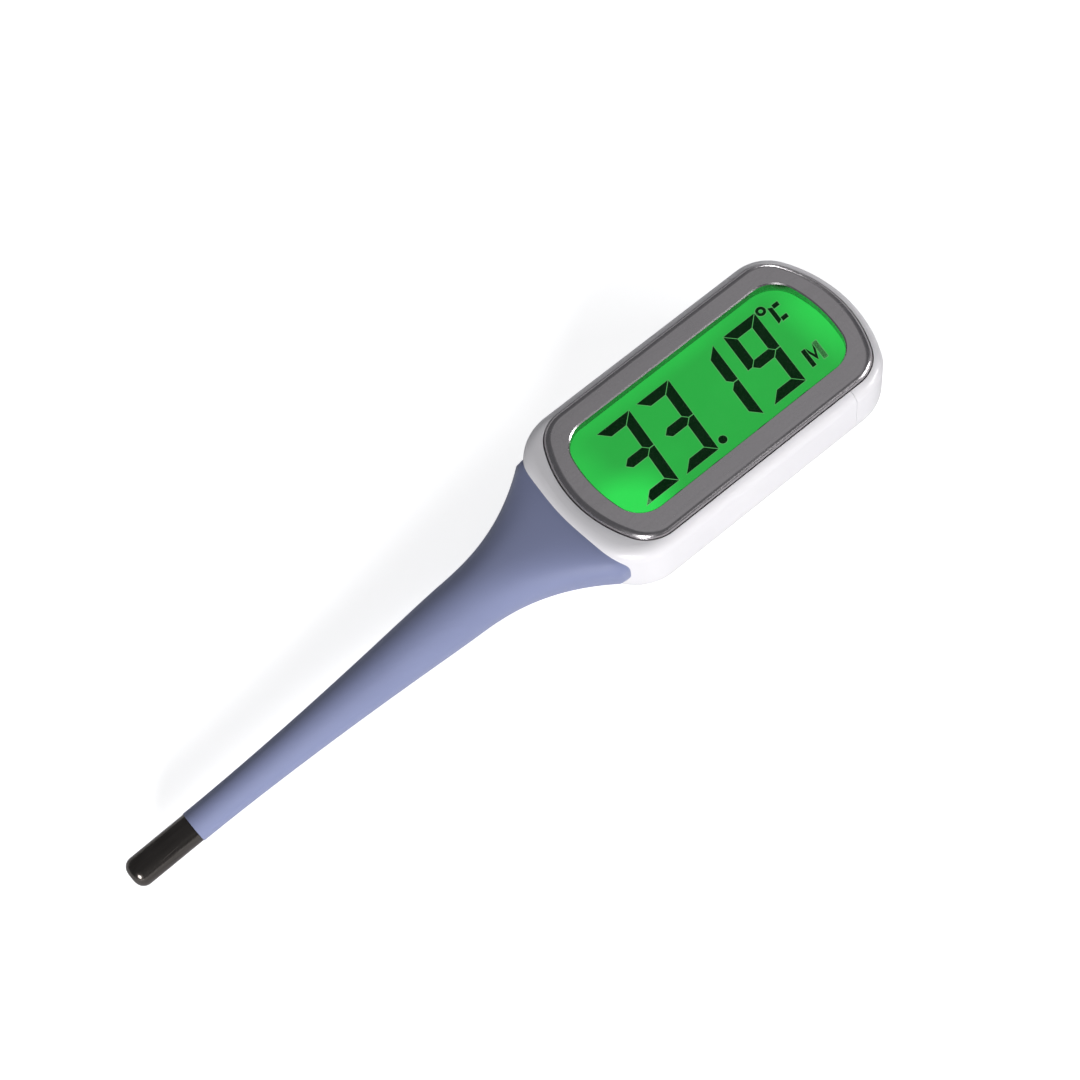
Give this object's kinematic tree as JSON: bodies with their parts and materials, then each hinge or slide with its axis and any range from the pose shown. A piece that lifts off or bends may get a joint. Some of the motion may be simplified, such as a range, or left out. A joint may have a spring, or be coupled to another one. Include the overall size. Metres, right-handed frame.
{
  "type": "digital thermometer",
  "caption": "Digital clinical thermometer with a wide head, lit number display, soft bendable stem and metal sensing tip.",
  "frame": {"origin": "centre of the head's flat back, which it rests on", "axes": "+X from the sensing tip to the head's free end, +Y across the head, +Z out of the display"},
  "size_m": [0.13, 0.0282, 0.014],
  "materials": {
    "white_shell": "satin moulded ABS",
    "bezel_metal": "gunmetal paint, satin",
    "soft_blue": "matte soft-touch elastomer",
    "cap_steel": "polished stainless steel",
    "clear_window": "clear acrylic",
    "clear_film": "thin polarising film",
    "lcd_glass": "display glass",
    "lcd_ink": "dark liquid-crystal bars",
    "lit_film": "green light diffuser",
    "light_guide": "edge-lit clear acrylic",
    "white_film": "white reflector film",
    "led_body": "white lamp body",
    "inner_plastic": "natural white moulding",
    "seal_rubber": "grey silicone",
    "zebra_rubber": "striped silicone connector",
    "board_green": "green solder resist",
    "black_resin": "black resin",
    "ceramic_parts": "ceramic",
    "screw_steel": "nickel-plated steel",
    "brass": "brass",
    "cell_steel": "steel can",
    "contact_metal": "plated spring strip",
    "lead_insulation": "enamel insulation",
    "potting_resin": "epoxy resin"
  },
  "bodies": {
    "root": {"front_housing": "white_shell", "rear_housing": "white_shell", "housing_gasket": "seal_rubber", "case_screw_left": "screw_steel", "case_screw_right": "screw_steel", "bezel": "bezel_metal", "display_window": "clear_window", "front_polariser": "clear_film", "lcd_front_glass": "lcd_glass", "lcd_segments": "lcd_ink", "lcd_rear_glass": "lcd_glass", "rear_polariser": "clear_film", "light_diffuser": "lit_film", "light_guide": "light_guide", "light_reflector": "white_film", "backlight_led_left": "led_body", "backlight_led_right": "led_body", "display_holder": "inner_plastic", "zebra_connector": "zebra_rubber", "circuit_board": "board_green", "controller_chip": "black_resin", "crystal": "screw_steel", "board_parts": "ceramic_parts", "switch_body": "black_resin", "buzzer_ring": "inner_plastic", "buzzer_plate": "brass", "buzzer_ceramic": "ceramic_parts", "battery_tray": "inner_plastic", "button_cell": "cell_steel", "negative_contact": "contact_metal", "positive_contact": "contact_metal", "neck_core": "inner_plastic", "neck_sleeve": "soft_blue", "neck_leads": "lead_insulation"},
    "battery_cover": {"battery_cover": "white_shell"},
    "power_button": {"power_button": "soft_blue"},
    "switch_plunger": {"switch_plunger": "inner_plastic"},
    "stem_1": {"stem_segment_1": "soft_blue", "stem_leads_1": "lead_insulation"},
    "stem_2": {"stem_segment_2": "soft_blue", "stem_leads_2": "lead_insulation"},
    "stem_3": {"stem_segment_3": "soft_blue", "stem_leads_3": "lead_insulation"},
    "stem_4": {"stem_segment_4": "soft_blue", "stem_leads_4": "lead_insulation", "sensor_cap": "cap_steel", "cap_filling": "potting_resin", "sensor_bead": "black_resin"}
  },
  "joints": [
    {"name": "battery_cover_slide", "type": "slide", "parent": "root", "child": "battery_cover", "axis": [1, 0, 0], "range_m": [0, 0.03]},
    {"name": "power_button_press", "type": "slide", "parent": "root", "child": "power_button", "axis": [0, 0, 1], "range_m": [0, 0.00025], "stiffness_N_per_m": 1200},
    {"name": "switch_plunger_press", "type": "slide", "parent": "root", "child": "switch_plunger", "axis": [0, 0, 1], "range_m": [0, 0.00025]},
    {"name": "stem_bend_1", "type": "hinge", "parent": "root", "child": "stem_1", "pos_m": [-0.04898, 0, 0.00829], "axis": [0, 1, 0], "range_deg": [-10, 10], "stiffness_Nm_per_rad": 0.08},
    {"name": "stem_bend_2", "type": "hinge", "parent": "stem_1", "child": "stem_2", "pos_m": [-0.05892, 0, 0.00777], "axis": [0, 1, 0], "range_deg": [-10, 10], "stiffness_Nm_per_rad": 0.08},
    {"name": "stem_bend_3", "type": "hinge", "parent": "stem_2", "child": "stem_3", "pos_m": [-0.06886, 0, 0.00725], "axis": [0, 1, 0], "range_deg": [-10, 10], "stiffness_Nm_per_rad": 0.08},
    {"name": "stem_bend_4", "type": "hinge", "parent": "stem_3", "child": "stem_4", "pos_m": [-0.0788, 0, 0.00673], "axis": [0, 1, 0], "range_deg": [-10, 10], "stiffness_Nm_per_rad": 0.08}
  ],
  "couplings": [
    {"joint": "switch_plunger_press", "follows": "power_button_press", "ratio": 1}
  ]
}
